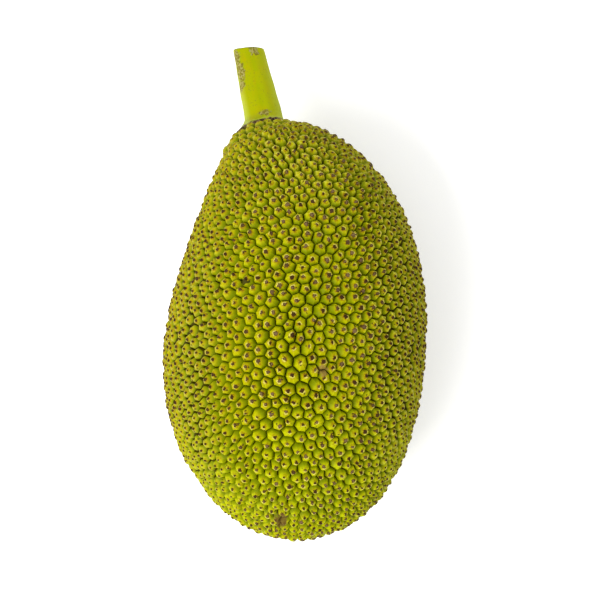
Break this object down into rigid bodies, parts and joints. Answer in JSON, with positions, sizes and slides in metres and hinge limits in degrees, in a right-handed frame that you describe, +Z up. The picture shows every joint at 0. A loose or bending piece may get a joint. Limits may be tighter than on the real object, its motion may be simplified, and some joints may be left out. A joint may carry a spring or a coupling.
{
  "type": "jackfruit",
  "caption": "Whole jackfruit as picked, lying on its side, its rind closed all over with blunt tubercles, with a short cut stalk.",
  "frame": {"origin": "middle of the small flat spot under the fruit that it rests on", "axes": "+Z up from the surface it lies on, +Y along the fruit towards the stalk end, +X across it"},
  "size_m": [0.2023, 0.3772, 0.1904],
  "materials": {
    "rind": "yellow-green tubercles, darker in the valleys, each with a brown scar at its tip",
    "stalk": "smooth fresh yellow-green skin with a few corky brown scabs and a pale cut end"
  },
  "bodies": {
    "root": {"fruit": "rind", "stalk": "stalk"}
  },
  "joints": []
}
